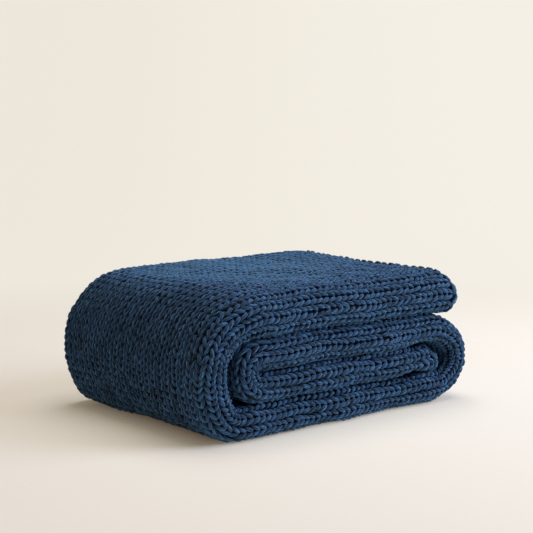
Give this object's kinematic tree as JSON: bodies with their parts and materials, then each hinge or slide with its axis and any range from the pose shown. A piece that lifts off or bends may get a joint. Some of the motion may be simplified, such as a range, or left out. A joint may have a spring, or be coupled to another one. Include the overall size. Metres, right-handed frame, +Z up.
{
  "type": "folded weighted blanket",
  "caption": "Chunky knitted weighted blanket in navy, folded lengthwise and rolled flat into a low pile with rounded folds and a free end on top.",
  "frame": {"origin": "centre of the pile's footprint, on the surface it rests on", "axes": "+X along the layers towards the free end of the top layer, +Y from the front fold to the back edges, +Z up"},
  "size_m": [0.4694, 0.3264, 0.1872],
  "materials": {
    "yarn": "matt chunky stockinette knit of soft navy yarn"
  },
  "bodies": {
    "root": {"blanket": "yarn"}
  },
  "joints": []
}
